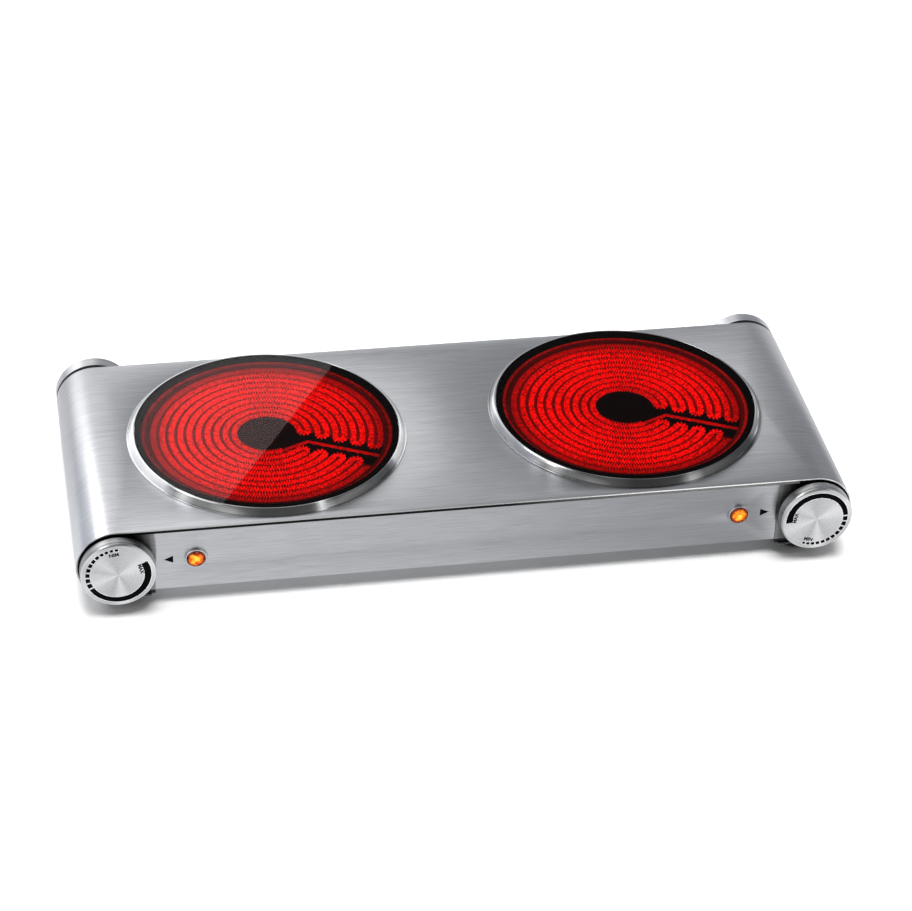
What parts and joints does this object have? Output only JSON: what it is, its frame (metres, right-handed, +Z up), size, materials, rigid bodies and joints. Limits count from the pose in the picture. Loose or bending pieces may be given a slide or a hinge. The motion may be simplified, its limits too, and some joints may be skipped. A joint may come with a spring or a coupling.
{
  "type": "hot plate burner",
  "caption": "Low double infrared hot plate: long steel body rolled down at both ends, round glass cooking zones in polished rings, a turning knob on each rolled end.",
  "frame": {"origin": "middle of the object's own box, on the table", "axes": "+Z up, the front panel and knobs face -Y, +X along the long side to the right-hand knob"},
  "size_m": [0.5236, 0.2172, 0.0672],
  "materials": {
    "cover_steel": "brushed along X",
    "panel_steel": "brushed along X",
    "base_steel": "zinc plated sheet",
    "cap_steel": "turned",
    "pan_steel": "aluminised sheet",
    "polished_ring": "polished",
    "black_glass": "gloss",
    "ceramic_fibre": "fibrous board",
    "heating_alloy": "glowing ribbon",
    "ceramic": "glazed ceramic",
    "switch_plastic": "moulded",
    "bezel_chrome": "polished",
    "lamp_orange": "faceted, lit",
    "black_plastic": "moulded",
    "knob_steel": "spun face, satin side",
    "shaft_steel": "turned",
    "screw_zinc": "zinc plated",
    "screw_brass": "plain",
    "foot_rubber": "matte",
    "wire_brown": "sleeve",
    "wire_red": "sleeve",
    "wire_blue": "sleeve",
    "wire_white": "sleeve",
    "wire_green": "sleeve"
  },
  "bodies": {
    "chassis": {"top_cover": "cover_steel", "front_panel": "panel_steel", "rear_panel": "panel_steel", "base_plate": "base_steel", "left_front_end_plate": "black_plastic", "left_rear_end_plate": "black_plastic", "left_rear_cap": "cap_steel", "left_trim_ring": "polished_ring", "left_glass": "black_glass", "left_glass_seal": "ceramic_fibre", "left_heater_pan": "pan_steel", "left_insulation_bed": "ceramic_fibre", "left_insulation_rim": "ceramic_fibre", "left_heating_ribbon": "heating_alloy", "left_heater_pins": "heating_alloy", "left_heater_block": "ceramic", "left_pan_bracket": "pan_steel", "left_switch": "switch_plastic", "left_lamp_bezel": "bezel_chrome", "left_lamp_lens": "lamp_orange", "left_lamp_body": "black_plastic", "right_front_end_plate": "black_plastic", "right_rear_end_plate": "black_plastic", "right_rear_cap": "cap_steel", "right_trim_ring": "polished_ring", "right_glass": "black_glass", "right_glass_seal": "ceramic_fibre", "right_heater_pan": "pan_steel", "right_insulation_bed": "ceramic_fibre", "right_insulation_rim": "ceramic_fibre", "right_heating_ribbon": "heating_alloy", "right_heater_pins": "heating_alloy", "right_heater_block": "ceramic", "right_pan_bracket": "pan_steel", "right_switch": "switch_plastic", "right_lamp_bezel": "bezel_chrome", "right_lamp_lens": "lamp_orange", "right_lamp_body": "black_plastic", "switch_screws": "screw_zinc", "lamp_clips": "screw_zinc", "feet": "foot_rubber", "foot_screws": "screw_zinc", "base_screws": "screw_zinc", "bracket_screws": "screw_zinc", "mains_block": "ceramic", "mains_block_screws": "screw_brass", "earth_stud": "screw_brass", "cord_gland": "black_plastic", "live_wires": "wire_brown", "switched_wires": "wire_red", "neutral_wires": "wire_blue", "lamp_wires": "wire_white", "earth_wire": "wire_green"},
    "left_knob": {"left_knob_cap": "knob_steel", "left_knob_core": "black_plastic", "left_knob_shaft": "shaft_steel"},
    "right_knob": {"right_knob_cap": "knob_steel", "right_knob_core": "black_plastic", "right_knob_shaft": "shaft_steel"}
  },
  "joints": [
    {"name": "left_knob_turn", "type": "hinge", "parent": "chassis", "child": "left_knob", "pos_m": [-0.2351, -0.1075, 0.0358], "axis": [0, -1, 0], "range_deg": [-28, 302]},
    {"name": "right_knob_turn", "type": "hinge", "parent": "chassis", "child": "right_knob", "pos_m": [0.2351, -0.1075, 0.0358], "axis": [0, -1, 0], "range_deg": [-5, 325]}
  ]
}
